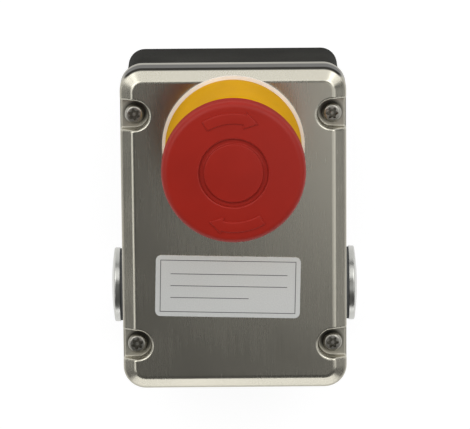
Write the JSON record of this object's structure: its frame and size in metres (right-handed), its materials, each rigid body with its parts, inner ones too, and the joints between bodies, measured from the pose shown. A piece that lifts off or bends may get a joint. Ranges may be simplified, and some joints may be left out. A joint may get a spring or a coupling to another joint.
{
  "type": "emergency stop switch",
  "caption": "Steel-covered surface-mounting emergency stop box with a red twist-release mushroom push button, a yellow collar and plugged cable entries.",
  "frame": {"origin": "centre of the rear mounting face", "axes": "+Z out through the push button, +Y towards the button's end of the box, +X to the right seen from the front; the object lies on its back"},
  "size_m": [0.0718, 0.094, 0.0821],
  "materials": {
    "cover_steel": "vertical brushing, satin",
    "box_coat": "dark fine-textured coat",
    "gasket_rubber": "matte moulded rubber",
    "screw_steel": "turned and rolled stainless steel",
    "label_film": "pale printed film",
    "plug_steel": "polished metal",
    "plug_seal": "dark flat seal",
    "collar_seal": "off-white silicone",
    "collar_yellow": "satin moulded plastic",
    "head_red": "satin moulded plastic",
    "sleeve_white": "natural moulded plastic",
    "mechanism_black": "glass-filled plastic",
    "mechanism_steel": "zinc-plated steel",
    "spring_steel": "drawn spring wire",
    "contact_brass": "bare brass",
    "block_grey": "moulded plastic"
  },
  "bodies": {
    "enclosure": {"front_cover": "cover_steel", "rear_box": "box_coat", "floor_bosses": "box_coat", "cover_gasket": "gasket_rubber", "cover_screws": "screw_steel", "information_label": "label_film", "entry_plug_left": "plug_steel", "entry_plug_right": "plug_steel", "entry_plug_seals": "plug_seal", "earth_clamp": "contact_brass", "earth_screw": "contact_brass", "collar_seal": "collar_seal", "yellow_collar": "collar_yellow", "hub_wiper": "gasket_rubber", "actuator_barrel": "mechanism_black", "latch_ring": "spring_steel", "spring_seat": "spring_steel", "return_spring": "spring_steel", "nut_washer": "mechanism_steel", "ring_nut": "mechanism_steel", "contact_carrier": "mechanism_black", "contact_block_1": "block_grey", "contact_block_2": "block_grey", "contact_block_3": "block_grey", "contact_springs": "spring_steel", "fixed_contacts": "contact_brass", "terminal_screws": "mechanism_steel"},
    "plunger": {"push_stem": "mechanism_steel", "head_screw": "mechanism_steel", "push_bar": "mechanism_black", "contact_plungers": "sleeve_white", "contact_bridges": "contact_brass"},
    "head": {"mushroom_head": "head_red", "head_centre_disc": "head_red", "release_sleeve": "sleeve_white"}
  },
  "joints": [
    {"name": "button_push", "type": "slide", "parent": "enclosure", "child": "plunger", "axis": [0, 0, -1], "range_m": [0, 0.0045], "stiffness_N_per_m": 2500, "springref_m": -0.004, "deforming": ["return_spring", "contact_springs"]},
    {"name": "head_twist", "type": "hinge", "parent": "plunger", "child": "head", "pos_m": [0, 0.025, 0.0821], "axis": [0, 0, -1], "range_deg": [0, 40], "stiffness_Nm_per_rad": 0.1, "springref_deg": -17.19}
  ]
}
